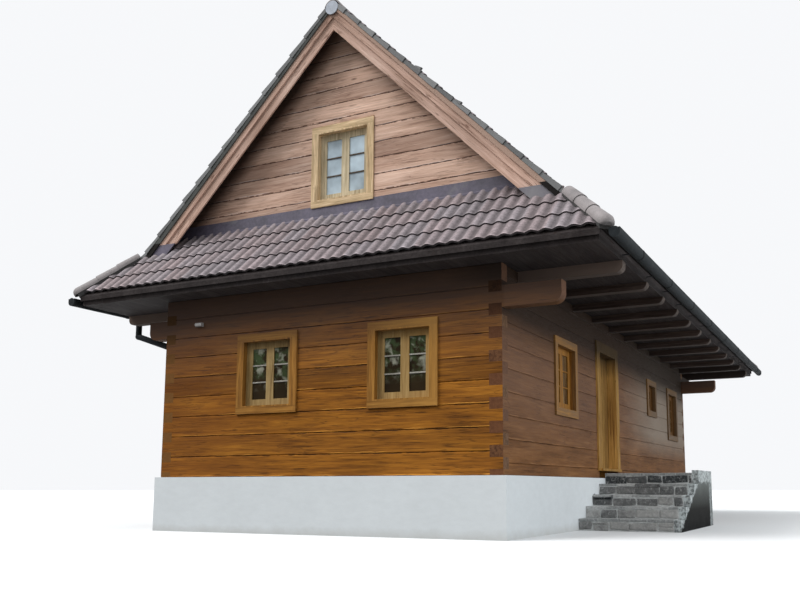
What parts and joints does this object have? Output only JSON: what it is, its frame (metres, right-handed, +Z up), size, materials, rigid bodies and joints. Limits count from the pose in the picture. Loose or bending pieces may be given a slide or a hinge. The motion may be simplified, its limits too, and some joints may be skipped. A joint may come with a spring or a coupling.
{
  "type": "alpine log chalet",
  "caption": "Log chalet with a white plinth, a steep tiled roof with a skirt across the gable front, deep eaves, an entrance door that opens, and a stone stair.",
  "frame": {"origin": "on the ground, at the centre of the plan of the log walls, on the underside of the plinth's middle cross wall", "axes": "+Z up, -Y out of the gable front, +X out of the long side with the entrance"},
  "size_m": [8.76, 13.86, 7.802],
  "materials": {
    "white_render": "white painted render over masonry",
    "floor_boards": "planed floor boards",
    "hewn_logs": "hewn logs, oiled, honey brown",
    "gable_boards": "pinkish tan boards",
    "dark_beams": "dark stained beams",
    "dark_boards": "dark stained boards",
    "roof_tiles": "grey-brown concrete tiles",
    "cap_tiles": "grey-brown ridge and hip tiles",
    "cap_discs": "pale grey end discs",
    "barge_boards": "brown stained boards",
    "dark_metal": "near-black painted sheet metal",
    "flashing": "purple-grey sheet metal",
    "oiled_oak": "oiled yellow-brown wood",
    "window_glass": "clear window glass",
    "door_boards": "yellowish upright boards",
    "handle_metal": "dark metal of the handles and hinges",
    "stair_stone": "grey stone laid in pale mortar",
    "lamp_cover": "pale cover"
  },
  "bodies": {
    "house": {"plinth": "white_render", "ground_floor": "floor_boards", "front_wall": "hewn_logs", "rear_wall": "hewn_logs", "left_wall": "hewn_logs", "right_wall_front": "hewn_logs", "right_wall_rear": "hewn_logs", "right_wall_over_door": "hewn_logs", "front_gable_wall": "gable_boards", "rear_gable_wall": "gable_boards", "ceiling_beams": "dark_beams", "attic_floor": "dark_boards", "rafters": "dark_beams", "roof_left": "roof_tiles", "roof_right": "roof_tiles", "front_skirt_roof": "roof_tiles", "rear_skirt_roof": "roof_tiles", "ridge_tiles": "cap_tiles", "ridge_end_discs": "cap_discs", "hip_tiles": "cap_tiles", "front_barge_boards": "barge_boards", "rear_barge_boards": "barge_boards", "eave_boards": "dark_boards", "left_gutter": "dark_metal", "right_gutter": "dark_metal", "downpipe": "dark_metal", "roof_flashings": "flashing", "front_window_frames": "oiled_oak", "front_window_glass": "window_glass", "gable_window_frame": "oiled_oak", "gable_window_glass": "window_glass", "right_window_frames": "oiled_oak", "right_window_glass": "window_glass", "left_window_frames": "oiled_oak", "left_window_glass": "window_glass", "rear_window_frames": "oiled_oak", "rear_window_glass": "window_glass", "door_frame": "oiled_oak", "door_hinge_pins": "handle_metal", "stair_steps": "stair_stone", "stair_landing": "stair_stone", "stair_side_wall": "stair_stone", "wall_lamp": "lamp_cover"},
    "door": {"door_leaf": "door_boards", "door_fittings": "handle_metal"}
  },
  "joints": [
    {"name": "entrance_door_hinge", "type": "hinge", "parent": "house", "child": "door", "pos_m": [2.56, -0.509, 0.95], "axis": [0, 0, -1], "range_deg": [0, 90]}
  ]
}
